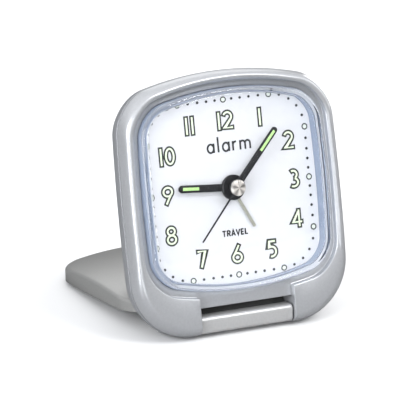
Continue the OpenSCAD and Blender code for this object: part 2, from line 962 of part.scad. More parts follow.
module case_screws() {
    top = screw_seat_z - head_t;
    x = case_screw.x;
    y = case_screw.y;
    color("lightsteelblue")
        on_face()
            mirrored() {
                difference() {
                    disc(case_screw, head_r, top, screw_seat_z - eps);
                    box([x - 1.1, y - 0.2, top - 1], [x + 1.1, y + 0.2, top + 0.4]);
                    box([x - 0.2, y - 1.1, top - 1], [x + 0.2, y + 1.1, top + 0.4]);
                }
                disc(case_screw, screw_r, top + 0.5, screw_end_z);
            }
}

front_housing();
rear_housing();
lens();
dial();
cover();
hinge_pin();
alarm_hand();
hour_hand();
hour_lume();
minute_hand();
minute_lume();
second_hand();
hub_cap();
alarm_wheel();
hour_wheel();
motion_wheel();
minute_pipe();
clutch_washer();
centre_wheel();
third_wheel();
second_wheel();
intermediate_wheel();
rotor();
stator();
coil();
movement_front_plate();
movement_back_plate();
movement_screws();
circuit_board();
quartz_crystal();
chip();
buzzer();
battery();
positive_contact();
negative_spring();
battery_door();
time_set_gear();
time_set_knob();
alarm_set_gear();
alarm_set_knob();
alarm_switch();
case_screws();
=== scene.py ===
import json
import math

import bmesh
import bpy
from mathutils import Matrix, Vector


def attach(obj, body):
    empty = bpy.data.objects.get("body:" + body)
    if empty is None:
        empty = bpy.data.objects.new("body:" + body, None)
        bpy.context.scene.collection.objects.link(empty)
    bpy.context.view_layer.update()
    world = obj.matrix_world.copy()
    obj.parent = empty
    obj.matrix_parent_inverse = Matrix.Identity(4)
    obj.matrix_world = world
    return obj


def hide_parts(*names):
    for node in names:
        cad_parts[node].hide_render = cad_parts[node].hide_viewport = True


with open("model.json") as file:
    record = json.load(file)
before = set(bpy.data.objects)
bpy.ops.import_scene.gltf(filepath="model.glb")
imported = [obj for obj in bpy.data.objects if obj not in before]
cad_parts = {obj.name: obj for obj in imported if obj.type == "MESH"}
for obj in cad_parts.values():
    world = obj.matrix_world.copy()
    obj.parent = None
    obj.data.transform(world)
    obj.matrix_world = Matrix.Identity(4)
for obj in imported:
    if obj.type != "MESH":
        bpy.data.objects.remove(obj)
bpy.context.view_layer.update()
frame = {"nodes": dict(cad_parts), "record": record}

# ---- stance: the same numbers as the CAD part, in millimetres and degrees ----
LEAN = 13.8
SWING = 278.7
SETBACK = 24.3
HINGE = (0.0, -40.5, 0.6)
COVER_TOP, COVER_RIM = 32.6, 3.15


def turned_about_hinge(v, n, swing=SWING):
    a, b = v - HINGE[1], n - HINGE[2]
    c, s = math.cos(math.radians(swing)), math.sin(math.radians(swing))
    return a * c - b * s + HINGE[1], a * s + b * c + HINGE[2]


FAR_EDGE = turned_about_hinge(COVER_TOP, COVER_RIM)
DIAL_HEIGHT = -FAR_EDGE[0] * math.cos(math.radians(LEAN)) - FAR_EDGE[1] * math.sin(math.radians(LEAN))
FACE = (Matrix.Scale(0.001, 4) @ Matrix.Translation((0, -SETBACK, DIAL_HEIGHT))
        @ Matrix.Rotation(math.radians(90 - LEAN), 4, "X"))
FOLDED = (Matrix.Translation(HINGE) @ Matrix.Rotation(math.radians(SWING), 4, "X")
          @ Matrix.Translation([-c for c in HINGE]))
FLAT = Matrix.Identity(4)


# ---- places on the clock, in the dial's frame: x to the viewer's right, y up the face, z out of it ----
EAR_IN, EAR_OUT = 16.1, 26.0  # inner and outer sides of the two hinge ears
LEDGE_Z = 2.85  # sunk ledge round the lens
SEAM_Z = 0.41  # the front shell's edge at the seam
BACK_Z = -20.0  # face of the back
KNOB_X, KNOB_Y = 8.323, -7.494  # axes of the setting knobs, one on either side
BAR_END, BORE_R = 15.8, 1.06  # half length of the cover's hinge bar, and its bore
# Angles of the hands, clockwise from 12
HOUR_AT, MINUTE_AT, SECOND_AT, ALARM_AT = 274.8, 42.7, 221.3, 152.3


# ---- outlines ----
CASE_BULGE = (0.9, 6.3, 0.4)
BEZEL_BULGE = (0.9, 5.0, 4.5)
ARC, SIDE = 18, 16


def outline(hw, top, low, rt, rb, bulge):
    """Rounded rectangle whose four sides bow outwards, as a closed list of (x, y)."""
    x, yt, yb = hw - bulge[0], top - bulge[1], bulge[2] - low
    mid, half = (yt + yb) / 2, (yt - yb) / 2
    pts = []
    for cx, cy, r, start in ((x - rt, yt - rt, rt, 0), (rt - x, yt - rt, rt, 90),
                             (rb - x, yb + rb, rb, 180), (x - rb, yb + rb, rb, 270)):
        arc = [(cx + r * math.cos(math.radians(start + 90 * i / ARC)),
                cy + r * math.sin(math.radians(start + 90 * i / ARC))) for i in range(ARC + 1)]
        if pts:
            pts += between(pts[-1], arc[0])
        pts += arc
    pts += between(pts[-1], pts[0])
    bowed = []
    for px, py in pts:
        v, h = (py - mid) / half, px / x
        rise = bulge[1] if v > 0 else bulge[2]
        bowed.append((px + bulge[0] * h * (1 - v * v), py + rise * v * (1 - h * h)))
    return bowed


def between(p, q):
    return [(p[0] + (q[0] - p[0]) * i / SIDE, p[1] + (q[1] - p[1]) * i / SIDE) for i in range(1, SIDE)]


def case_outline(inset):
    return outline(37.1 - inset, 36.2 - 0.85 * inset, 44.1 - 0.85 * inset,
                   10 - 0.3 * inset, 18 - 0.6 * inset, CASE_BULGE)


def bezel_outline(hw, top, low, r):
    return outline(hw, top, low, r, r, BEZEL_BULGE)


def recess_outline(inset):
    return bezel_outline(33.1 - inset, 32.9 - inset, 33.3 - inset, 9 - 0.4 * inset)


def lens_outline(inset):
    return bezel_outline(31.3 - inset, 30.9 - 0.8 * inset, 31.1 - 0.8 * inset, 8 - 0.9 * inset)


def cover_outline(inset):
    return bezel_outline(32.8 - inset, 32.6 - inset, 32.3 - inset, 8.8 - 0.6 * inset)


def level(points, z):
    return [(p[0], p[1], z) for p in points]


def across(points, x):
    """A (y, z) section at that x."""
    return [(x, p[0], p[1]) for p in points]


def arc(cx, cy, rx, ry, start, end, steps=18):
    return [(cx + rx * math.cos(math.radians(start + (end - start) * i / steps)),
             cy + ry * math.sin(math.radians(start + (end - start) * i / steps))) for i in range(steps + 1)]


def smooth_path(knots, steps=6):
    """Catmull-Rom curve through (z, inset) knots."""
    ext = [knots[0]] + list(knots) + [knots[-1]]
    path = []
    for i in range(1, len(ext) - 2):
        p0, p1, p2, p3 = ext[i - 1:i + 3]
        for s in range(steps):
            t = s / steps
            path.append(tuple(0.5 * (2 * b + (c - a) * t + (2 * a - 5 * b + 4 * c - d) * t * t
                                     + (3 * b - a - 3 * c + d) * t ** 3)
                              for a, b, c, d in zip(p0, p1, p2, p3)))
    path.append(tuple(knots[-1]))
    return path


# ---- mesh building, in the dial's frame ----
def mesh_object(name, verts, faces, matrix=FLAT):
    mesh = bpy.data.meshes.new(name)
    mesh.from_pydata([matrix @ Vector(v) for v in verts], [], faces)
    mesh.validate()
    obj = bpy.data.objects.new(name, mesh)
    bpy.context.scene.collection.objects.link(obj)
    outward(obj)
    return obj


def outward(obj):
    bm = bmesh.new()
    bm.from_mesh(obj.data)
    bmesh.ops.recalc_face_normals(bm, faces=bm.faces)
    bm.to_mesh(obj.data)
    bm.free()


def rings_mesh(rings, loop=False, caps=True):
    """Vertices and faces of a skin over equal-length rings."""
    n, rows = len(rings[0]), len(rings)
    verts = [p for ring in rings for p in ring]
    faces = []
    for k in range(rows if loop else rows - 1):
        a, b = k * n, ((k + 1) % rows) * n
        faces += [(a + i, a + (i + 1) % n, b + (i + 1) % n, b + i) for i in range(n)]
    if caps and not loop:
        faces += [tuple(range(n))[::-1], tuple((rows - 1) * n + i for i in range(n))]
    return verts, faces


def loft(name, rings, loop=False, matrix=FLAT):
    verts, faces = rings_mesh(rings, loop)
    return mesh_object(name, verts, faces, matrix)


def rounded_over(outline_at, inset, z_of, edge, steps=8):
    """Rings that turn a side wall over into the surface z_of(x, y) with the radius edge."""
    out = []
    for k in range(steps + 1):
        a = math.radians(90 * k / steps)
        ring = outline_at(inset + edge * (1 - math.cos(a)))
        out.append([(x, y, z_of(x, y) - edge * (1 - math.sin(a))) for x, y in ring])
    return out


def domed(ring, z_of, steps=16, centre=(0.0, 0.3)):
    """Rings shrinking from ring to the centre on the surface z_of(x, y)."""
    out = []
    for k in range(1, steps + 1):
        s = 1 - k / steps if k < steps else 0.004
        pts = [(centre[0] + (p[0] - centre[0]) * s, centre[1] + (p[1] - centre[1]) * s) for p in ring]
        out.append([(x, y, z_of(x, y)) for x, y in pts])
    return out


def box(low, high, matrix=FLAT):
    xs, ys, zs = zip(low, high)
    verts = [(x, y, z) for x in xs for y in ys for z in zs]
    faces = [(0, 1, 3, 2), (4, 6, 7, 5), (0, 4, 5, 1), (2, 3, 7, 6), (0, 2, 6, 4), (1, 5, 7, 3)]
    return mesh_object("cutter", verts, faces, matrix)


def rounded_prism(section, x0, x1, edge=0.3, matrix=FLAT, name="prism"):
    """Prism along x of a (y, z) section, with its two ends' edges rounded."""
    cy = sum(p[0] for p in section) / len(section)
    cz = sum(p[1] for p in section) / len(section)
    rings = []
    steps = [0, 0.3, 0.6, 0.85, 1.0]
    def ring(x, shrink):
        pts = []
        for y, z in section:
            d = math.hypot(y - cy, z - cz)
            k = (d - shrink) / d
            pts.append((x, cy + (y - cy) * k, cz + (z - cz) * k))
        return pts
    for t in steps:
        rings.append(ring(x0 + edge * t, edge * (1 - math.sqrt(1 - (1 - t) ** 2))))
    for t in reversed(steps):
        rings.append(ring(x1 - edge * t, edge * (1 - math.sqrt(1 - (1 - t) ** 2))))
    return loft(name, rings, matrix=matrix)


def tube(points_r_z, at=(0, 0), segments=64, loop=False, name="turned", matrix=FLAT):
    """Solid of revolution about the dial's normal from (r, z) points."""
    rings = []
    for r, z in points_r_z:
        rings.append([(at[0] + r * math.cos(2 * math.pi * i / segments),
                       at[1] + r * math.sin(2 * math.pi * i / segments), z) for i in range(segments)])
    return loft(name, rings, loop=loop, matrix=matrix)


def boolean(obj, cutter, kind="DIFFERENCE"):
    mod = obj.modifiers.new("cut", "BOOLEAN")
    mod.operation, mod.solver, mod.object = kind, "EXACT", cutter
    bpy.context.view_layer.update()
    result = bpy.data.meshes.new_from_object(obj.evaluated_get(bpy.context.evaluated_depsgraph_get()))
    obj.modifiers.clear()
    obj.data = result
    bpy.data.objects.remove(cutter)
    return obj


def trimmed_at_floor(obj):
    """Cuts away what lies below the floor, which is level in the world and tilted here."""
    below = box((-100, -100, -50), (100, 100, 0.0), Matrix(FACE).inverted() @ Matrix.Scale(0.001, 4))
    return boolean(obj, below)


def joined(name, objs):
    bm = bmesh.new()
    for o in objs:
        bm.from_mesh(o.data)
    mesh = bpy.data.meshes.new(name)
    bm.to_mesh(mesh)
    bm.free()
    for o in objs:
        bpy.data.objects.remove(o)
    obj = bpy.data.objects.new(name, mesh)
    bpy.context.scene.collection.objects.link(obj)
    return obj


def finish_piece(obj, name, body, material, replaces=(), matrix=FACE, sharp=32):
    """Puts a piece on the clock: names it, shades it, hangs it on the body it rides on and hides the parts it
    stands for.
    """
    obj.data.transform(matrix)
    obj.name = obj.data.name = name
    obj.data.materials.clear()
    obj.data.materials.append(material)
    for p in obj.data.polygons:
        p.use_smooth = True
    obj.data.set_sharp_from_angle(angle=math.radians(sharp))
    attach(obj, body)
    if replaces:
        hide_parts(*replaces)
    return obj


# ---- materials ----
def new_material(name):
    mat = bpy.data.materials.new(name)
    mat.use_nodes = True
    nodes = mat.node_tree.nodes
    return mat, nodes, mat.node_tree.links, nodes["Principled BSDF"]


def noise_mix(nodes, links, scale, detail, colour_a, colour_b, low=0.35, high=0.65, kind="Object"):
    coord = nodes.new("ShaderNodeTexCoord")
    noise = nodes.new("ShaderNodeTexNoise")
    noise.inputs["Scale"].default_value = scale
    noise.inputs["Detail"].default_value = detail
    links.new(coord.outputs[kind], noise.inputs["Vector"])
    ramp = nodes.new("ShaderNodeValToRGB")
    ramp.color_ramp.elements[0].position, ramp.color_ramp.elements[1].position = low, high
    ramp.color_ramp.elements[0].color = (*colour_a, 1)
    ramp.color_ramp.elements[1].color = (*colour_b, 1)
    links.new(noise.outputs["Fac"], ramp.inputs["Fac"])
    return noise, ramp


def surface(name, colour, spread=0.06, metallic=0.0, roughness=0.4, rough_spread=0.08, scale=900.0,
            bump=0.0, bump_scale=5000.0, edge=0.0, coat=0.0, specular=0.5, painted_shade_depth=0.0):
    """Principled surface whose colour and gloss vary a little, with a fine grain.

    edge is the width in mm over which sharp edges catch the light, and the last argument the depth in mm of the
    hollows whose colour is darkened as painted shade."""
    mat, nodes, links, bsdf = new_material(name)
    dark = tuple(c * (1 - spread) for c in colour)
    light = tuple(min(1.0, c * (1 + spread)) for c in colour)
    noise, ramp = noise_mix(nodes, links, scale, 4, dark, light)
    shade = ramp.outputs["Color"]
    # Painted shade: in hollows found by ambient occlusion the colour turns towards a near-black copy of itself
    if painted_shade_depth:
        hollow_occlusion, painted_shade_mix = nodes.new("ShaderNodeAmbientOcclusion"), nodes.new("ShaderNodeMix")
        hollow_occlusion.samples = 8
        hollow_occlusion.inputs["Distance"].default_value = painted_shade_depth * 0.001
        painted_shade_mix.data_type = "RGBA"
        painted_shade_mix.inputs["A"].default_value = (*(c * 0.12 for c in colour), 1)
        links.new(hollow_occlusion.outputs["AO"], painted_shade_mix.inputs["Factor"])
        links.new(shade, painted_shade_mix.inputs["B"])
        shade = painted_shade_mix.outputs["Result"]
    links.new(shade, bsdf.inputs["Base Color"])
    rough = nodes.new("ShaderNodeMapRange")
    rough.inputs["To Min"].default_value = roughness - rough_spread / 2
    rough.inputs["To Max"].default_value = roughness + rough_spread / 2
    links.new(noise.outputs["Fac"], rough.inputs["Value"])
    links.new(rough.outputs["Result"], bsdf.inputs["Roughness"])
    bsdf.inputs["Metallic"].default_value = metallic
    bsdf.inputs["Specular IOR Level"].default_value = specular
    bsdf.inputs["Coat Weight"].default_value = coat
    bsdf.inputs["Coat Roughness"].default_value = 0.25
    normal = None
    if edge:
        bevel = nodes.new("ShaderNodeBevel")
        bevel.samples = 6
        bevel.inputs["Radius"].default_value = edge * 0.001
        normal = bevel.outputs["Normal"]
    if bump:
        grain = nodes.new("ShaderNodeTexNoise")
        grain.inputs["Scale"].default_value = bump_scale
        grain.inputs["Detail"].default_value = 3
        coord = nodes.new("ShaderNodeTexCoord")
        links.new(coord.outputs["Object"], grain.inputs["Vector"])
        node = nodes.new("ShaderNodeBump")
        node.inputs["Strength"].default_value = bump
        node.inputs["Distance"].default_value = 0.0001
        links.new(grain.outputs["Fac"], node.inputs["Height"])
        if normal:
            links.new(normal, node.inputs["Normal"])
        normal = node.outputs["Normal"]
    if normal:
        links.new(normal, bsdf.inputs["Normal"])
    return mat


def clear_plastic(name, front, wall):
    """Clear moulding with painted light in its side walls: they are tinted a faint milky blue for the light
    that runs along inside them.
    """
    mat, nodes, links, bsdf = new_material(name)
    noise, ramp = noise_mix(nodes, links, 60.0, 2, tuple(c * 0.985 for c in wall), wall)
    # Painted light: side walls, told by how far their normals turn from the dial's, take the wall tint and pass
    # less light
    geometry, facing, share = (nodes.new("ShaderNode" + kind)
                               for kind in ("NewGeometry", "VectorMath", "MapRange"))
    facing.operation = "DOT_PRODUCT"
    facing.inputs[1].default_value = (0, -math.cos(math.radians(LEAN)), math.sin(math.radians(LEAN)))
    links.new(geometry.outputs["Normal"], facing.inputs[0])
    bend = nodes.new("ShaderNodeMath")
    bend.operation = "ABSOLUTE"
    links.new(facing.outputs["Value"], bend.inputs[0])
    share.inputs["From Min"].default_value, share.inputs["From Max"].default_value = 0.35, 0.9
    links.new(bend.outputs["Value"], share.inputs["Value"])
    mix = nodes.new("ShaderNodeMix")
    mix.data_type = "RGBA"
    links.new(share.outputs["Result"], mix.inputs["Factor"])
    links.new(ramp.outputs["Color"], mix.inputs["A"])
    mix.inputs["B"].default_value = (*front, 1)
    links.new(mix.outputs["Result"], bsdf.inputs["Base Color"])
    clarity = nodes.new("ShaderNodeMapRange")
    clarity.inputs["To Min"].default_value, clarity.inputs["To Max"].default_value = 0.45, 1.0
    links.new(share.outputs["Result"], clarity.inputs["Value"])
    links.new(clarity.outputs["Result"], bsdf.inputs["Transmission Weight"])
    bsdf.inputs["Roughness"].default_value = 0.03
    bsdf.inputs["IOR"].default_value = 1.49
    path = nodes.new("ShaderNodeLightPath")
    clear = nodes.new("ShaderNodeBsdfTransparent")
    clear.inputs["Color"].default_value = (0.95, 0.96, 0.98, 1)
    mix = nodes.new("ShaderNodeMixShader")
    links.new(path.outputs["Is Shadow Ray"], mix.inputs["Fac"])
    links.new(bsdf.outputs["BSDF"], mix.inputs[1])
    links.new(clear.outputs["BSDF"], mix.inputs[2])
    links.new(mix.outputs["Shader"], nodes["Material Output"].inputs["Surface"])
    return mat


# Housing, shell and cover get painted shade in their hollows, to the depth in mm given last; on the cover it
# reaches 5.5 mm, enough to darken the tongue seen through the slot between the ears
PAINT = surface("silver_paint", (0.52, 0.53, 0.55), 0.03, 0.55, 0.3, 0.06, 1500, 0.06, 9000,
                edge=0.3, coat=0.15, painted_shade_depth=0.8)
# The hinge bar is one moulding with the cover tray; its paint is lighter than the cover's, painted light for
# the brighter light on its front face
BAR_PAINTED_LIGHT = surface("bar_paint_with_painted_light", (0.56, 0.56, 0.56), 0.03, 0.45, 0.36, 0.06, 1500, 0.06, 9000,
                    edge=0.3)
SHELL = surface("shell_silver_paint", (0.40, 0.41, 0.43), 0.03, 0.5, 0.36, 0.06, 1500, 0.06, 9000,
                edge=0.25, painted_shade_depth=3.0)
COVER = surface("cover_silver_paint", (0.40, 0.40, 0.39), 0.03, 0.5, 0.34, 0.06, 1500, 0.06, 9000,
                edge=0.3, painted_shade_depth=5.5)
CLEAR = clear_plastic("lens_clear", (0.985, 0.99, 1.0), (0.36, 0.42, 0.53))
DIAL = surface("dial_white", (0.57, 0.57, 0.575), 0.012, 0.0, 0.55, 0.05, 300, 0.03, 12000)
INK = surface("dial_ink", (0.008, 0.008, 0.009), 0.2, 0.0, 0.5, 0.1, 2000)
RING_INK = surface("ring_ink", (0.012, 0.016, 0.01), 0.15, 0.0, 0.5, 0.1, 2000)
PALE = surface("numeral_pale", (0.66, 0.74, 0.54), 0.04, 0.0, 0.6, 0.1, 1500)
RING_PALE = surface("ring_pale", (0.61, 0.64, 0.57), 0.04, 0.0, 0.6, 0.1, 1500)
GREEN = surface("lume_green", (0.38, 0.60, 0.22), 0.08, 0.0, 0.6, 0.1, 1500, 0.2, 8000)
BLACK = surface("hand_black", (0.008, 0.008, 0.009), 0.2, 0.0, 0.4, 0.1, 1500, edge=0.12, specular=0.3)
KHAKI = surface("alarm_hand_paint", (0.36, 0.36, 0.30), 0.06, 0.5, 0.4, 0.1, 1500)
STEEL = surface("needle_steel", (0.05, 0.05, 0.052), 0.1, 0.9, 0.3, 0.1, 1500)
PIN = surface("pin_steel", (0.5, 0.51, 0.53), 0.08, 1.0, 0.35, 0.1, 1500)
KNOB = surface("knob_grey", (0.10, 0.105, 0.11), 0.1, 0.0, 0.45, 0.1, 1500, 0.1, 6000, edge=0.15)
GEAR = surface("gear_white", (0.75, 0.75, 0.72), 0.03, 0.0, 0.45, 0.1, 1500)
BRASS = surface("brass", (0.72, 0.52, 0.22), 0.06, 1.0, 0.3, 0.1, 1500)
IRON = surface("iron", (0.18, 0.19, 0.2), 0.1, 0.8, 0.5, 0.1, 1500)
WINDING = surface("winding", (0.42, 0.13, 0.04), 0.1, 0.4, 0.35, 0.1, 3000)
BOARD = surface("board_green", (0.03, 0.15, 0.06), 0.1, 0.0, 0.4, 0.1, 1500)
CAN = surface("crystal_can", (0.6, 0.6, 0.62), 0.05, 1.0, 0.3, 0.1, 1500)
JACKET = surface("cell_jacket", (0.05, 0.12, 0.35), 0.1, 0.1, 0.3, 0.05, 400)
NICKEL = surface("nickel", (0.66, 0.64, 0.6), 0.05, 1.0, 0.25, 0.1, 1500)
MOULDED = surface("black_plastic", (0.02, 0.02, 0.022), 0.2, 0.0, 0.4, 0.1, 1500)


def turned_metal_painted_sheen(name, colour, sectors=5):
    """Face-turned metal with painted sheen: the bright and dark sectors that light throws round the axis of a
    fine lathe finish, painted into its colour.
    """
    mat, nodes, links, bsdf = new_material(name)
    coord, to_face, radial = (nodes.new("ShaderNode" + k) for k in ("TexCoord", "Mapping", "TexGradient"))
    to_face.vector_type = "TEXTURE"
    to_face.inputs["Location"].default_value = FACE @ Vector((0, 0, 0))
    to_face.inputs["Rotation"].default_value = (math.radians(90 - LEAN), 0, 0)
    radial.gradient_type = "RADIAL"
    links.new(coord.outputs["Object"], to_face.inputs["Vector"])
    links.new(to_face.outputs["Vector"], radial.inputs["Vector"])
    wave = nodes.new("ShaderNodeMath")
    wave.operation = "MULTIPLY"
    wave.inputs[1].default_value = 2 * math.pi * sectors
    links.new(radial.outputs["Fac"], wave.inputs[0])
    sine = nodes.new("ShaderNodeMath")
    sine.operation = "SINE"
    links.new(wave.outputs["Value"], sine.inputs[0])
    ramp = nodes.new("ShaderNodeMapRange")
    ramp.inputs["From Min"].default_value, ramp.inputs["From Max"].default_value = -1, 1
    links.new(sine.outputs["Value"], ramp.inputs["Value"])
    mix = nodes.new("ShaderNodeMix")
    mix.data_type = "RGBA"
    # Painted sheen: a darker and a lighter copy of the metal's colour for the sectors
    mix.inputs["A"].default_value = (*(c * 0.45 for c in colour), 1)
    mix.inputs["B"].default_value = (*(min(1, c * 1.25) for c in colour), 1)
    links.new(ramp.outputs["Result"], mix.inputs["Factor"])
    links.new(mix.outputs["Result"], bsdf.inputs["Base Color"])
    bsdf.inputs["Metallic"].default_value = 0.9
    bsdf.inputs["Roughness"].default_value = 0.3
    return mat


CAP = turned_metal_painted_sheen("cap_silver", (0.62, 0.58, 0.53))

SLOT_MATERIAL = {
    "satin_silver": PAINT, "shell_silver": SHELL, "lens_clear": CLEAR, "dial_white": DIAL,
    "hand_black": BLACK, "hand_khaki": KHAKI, "lume_green": GREEN, "needle_steel": STEEL,
    "cap_silver": CAP, "pin_steel": PIN, "gear_white": GEAR, "brass": BRASS, "magnet": IRON,
    "iron": IRON, "winding": WINDING, "board_green": BOARD, "crystal_can": CAN,
    "black_plastic": MOULDED, "cell_jacket": JACKET, "nickel": NICKEL, "knob_grey": KNOB}
for part in frame["record"]["subparts"]:
    node = frame["nodes"][part["node"]]
    node.data.materials.clear()
    node.data.materials.append(SLOT_MATERIAL[part["material_slot"]])
    for poly in node.data.polygons:
        poly.material_index = 0


# ---- front housing ----
# Both as (z, inset) from the rim of the dial's recess out to the seam, with the same number of knots:
# a round bead goes round the dial's top and sides, and the chin below it is flatter.
BEAD = [(4.5, 3.5), (4.75, 3.15), (4.88, 2.7), (4.8, 2.2), (4.45, 1.7), (3.8, 1.23), (2.9, 0.79),
        (1.8, 0.42), (1.0, 0.2), (0.72, 0.16)]
CHIN = [(4.9, 3.5), (4.86, 3.1), (4.72, 2.6), (4.45, 2.1), (4.0, 1.55), (3.4, 1.1), (2.6, 0.7),
        (1.7, 0.37), (1.0, 0.2), (0.72, 0.16)]
BEAD_END, CHIN_START = -16.0, -30.0


def bead_to_chin(bead_ring, chin_ring):
    """Ring that follows the bead above and turns into the chin below."""
    out = []
    for p, q in zip(bead_ring, chin_ring):
        t = min(1.0, max(0.0, (p[1] - BEAD_END) / (CHIN_START - BEAD_END)))
        t = t * t * (3 - 2 * t)
        out.append(tuple(a + (b - a) * t for a, b in zip(p, q)))
    return out


def front_housing():
    rings = [level(lens_outline(i), z)
             for z, i in ((1.2, -0.06), (2.75, -0.06), (2.82, -0.09), (LEDGE_Z, -0.16))]
    rings += [level(recess_outline(i), z) for z, i in ((LEDGE_Z, 0.5), (2.9, 0.2), (3.02, 0.06), (3.25, 0.0))]
    for inset, bead_z, chin_z in ((-0.02, 4.05, 4.55), (-0.06, 4.2, 4.72), (-0.16, 4.36, 4.84),
                                  (-0.3, 4.46, 4.9)):
        ring = recess_outline(inset)
        rings.append(bead_to_chin(level(ring, bead_z), level(ring, chin_z)))
    for (z, i), (chin_z, chin_i) in zip(smooth_path(BEAD), smooth_path(CHIN)):
        rings.append(bead_to_chin(level(case_outline(i), z), level(case_outline(chin_i), chin_z)))
    rings += [level(case_outline(i), z) for z, i in ((0.56, 0.21), (0.44, 0.36), (SEAM_Z, 0.5), (SEAM_Z, 1.8))]
    hollow = outline(35.3, 34.6, 32.1, 9.4, 8, (0.9, 6.3, 0.3))
    rings += [level(hollow, SEAM_Z), level(hollow, 1.2)]
    body = loft("front", rings, loop=True)
    for sign in (1, -1):
        lug = loft("lug", [level(case_outline(0.3), -6.2), level(case_outline(0.3), 0.45)])
        x = sorted((sign * EAR_IN, sign * EAR_OUT))
        lug = boolean(lug, box((x[0], -50, -10), (x[1], -33.6, 5)), "INTERSECT")
        body = boolean(body, lug, "UNION")
    # The gap between the ears for the hinge bar, and the notch above it for the cover's tongue
    body = boolean(body, box((-EAR_IN, -60, -20), (EAR_IN, -35.4, 20)))
    body = boolean(body, box((-EAR_IN, -36, LEDGE_Z), (EAR_IN, -30, 20)))
    return trimmed_at_floor(body)


finish_piece(front_housing(), "front_housing_shell", "case", PAINT, ["front_housing"])


# ---- rear housing ----
BELLY, SLOPE = -33.4, 0.3155  # the underside: its height at the seam, and its rise towards the back


def rear_profile():
    """(z, inset) from the back's edge to the groove at the seam."""
    side = smooth_path([(BACK_Z, 9.6), (-19.75, 8.8), (-19.1, 8.0), (-17.6, 7.1), (-13, 4.8), (-8, 2.4),
                        (-5, 1.0), (-2.5, 0.25), (0.02, 0.04)], 4)
    return side + [(0.2, 0.1), (0.34, 0.3)]


def door_outline(margin):
    pts = outline(25.0 + margin, 6.4 + margin, 6.4 + margin, 3, 3, (0, 0, 0))
    return [(x, y + 15.0) for x, y in pts]


def belly_block(lift):
    """Everything above the rear shell's sloping underside, raised by lift."""
    low = BELLY + lift
    pts = [(low, 1), (low + SLOPE * 26, -25), (60, -25), (60, 1)]
    return loft("belly", [[(x, y, z) for y, z in pts] for x in (-50, 50)])


def rear_housing():
    rings = [level(case_outline(i), z) for z, i in rear_profile()] + [level(case_outline(0.5), 0.38)]
    body = loft("rear", rings)
    keep = belly_block(0)
    for sign in (1, -1):
        x = sorted((sign * 26.2, sign * 60))
        keep = boolean(keep, box((x[0], -60, -6.2), (x[1], -30, 1)), "UNION")
    body = boolean(body, keep, "INTERSECT")
    hollow = loft("hollow", [level(case_outline(i), z) for z, i in
                             ((-18.3, 9.2), (-13, 6.5), (-8, 4.1), (-5, 2.7), (0.4, 1.8))])
    body = boolean(body, boolean(hollow, belly_block(1.7), "INTERSECT"))
    door_seat = [level(door_outline(0.3), z) for z in (-30, -18.3)]
    body = boolean(body, loft("door_seat", door_seat))
    for x in (KNOB_X, -KNOB_X):
        body = boolean(body, tube([(5.6, -30), (5.6, -17.9)], (x, KNOB_Y)))
    switch_slot = box((-6, 2.0, -30), (6, 5.2, -10))
    body = boolean(body, switch_slot)
    sound_holes = [(-17.0, -13.0)] + arc(-17.0, -13.0, 2.6, 2.6, 0, 300, 5)
    for at in sound_holes:
        body = boolean(body, tube([(0.6, -30), (0.6, -15)], at, 24))
    for x in (29.5, -29.5):
        screw_recess = tube([(2.0, -30), (2.0, -4)], (x, -35), 32)
        body = boolean(body, screw_recess)
    body = trimmed_at_floor(body)
    liner = loft("bay", [level(door_outline(-0.6), -18.2), level(door_outline(-0.6), -17.6)])
    pocket = [(6.8, -18.5), (6.8, -16.6), (1.2, -16.6), (1.2, -17.9), (5.6, -17.9), (5.6, -18.5)]
    pockets = [tube(pocket, (x, KNOB_Y), loop=True) for x in (KNOB_X, -KNOB_X)]
    return joined("rear", [body, liner] + pockets)


finish_piece(rear_housing(), "rear_housing_shell", "case", SHELL, ["rear_housing"])


# ---- lens ----
def sphere_z(crown, radius):
    return lambda x, y: crown - radius + math.sqrt(radius * radius - x * x - y * y)


def lens():
    outer_z, inner_z = sphere_z(7.6, 300), sphere_z(6.4, 300)
    rings = [level(lens_outline(1.9), -0.2), level(lens_outline(0.0), -0.2)]
    rings.append(level(lens_outline(0.0), 3.6))
    rings += rounded_over(lens_outline, 0.0, outer_z, 1.3)
    rings += domed(rings[-1], outer_z)
    outside = rings_mesh(rings, caps=False)
    inner = [level(lens_outline(1.9), -0.2), level(lens_outline(1.9), 3.6)]
    inner += rounded_over(lens_outline, 1.9, inner_z, 0.9)
    inner += domed(inner[-1], inner_z)
    inside = rings_mesh(inner, caps=False)
    n = len(rings[0])
    offset = len(outside[0])
    verts = outside[0] + inside[0]
    faces = outside[1] + [tuple(offset + i for i in f) for f in inside[1]]
    faces.append(tuple(len(outside[0]) - n + i for i in range(n)))
    faces.append(tuple(offset + len(inside[0]) - n + i for i in range(n)))
    obj = mesh_object("lens", verts, faces)
    bm = bmesh.new()
    bm.from_mesh(obj.data)
    bmesh.ops.remove_doubles(bm, verts=bm.verts, dist=1e-5)
    bmesh.ops.recalc_face_normals(bm, faces=bm.faces)
    bm.to_mesh(obj.data)
    bm.free()
    return obj


finish_piece(lens(), "lens_cap", "case", CLEAR, ["lens"], sharp=50)


# ---- dial and its printing ----
def dial_plate():
    return loft("dial", [level(lens_outline(0.2), -0.7), level(lens_outline(0.2), -0.22),
                         level(lens_outline(2.0), -0.21), level(lens_outline(2.0), 0.0)])


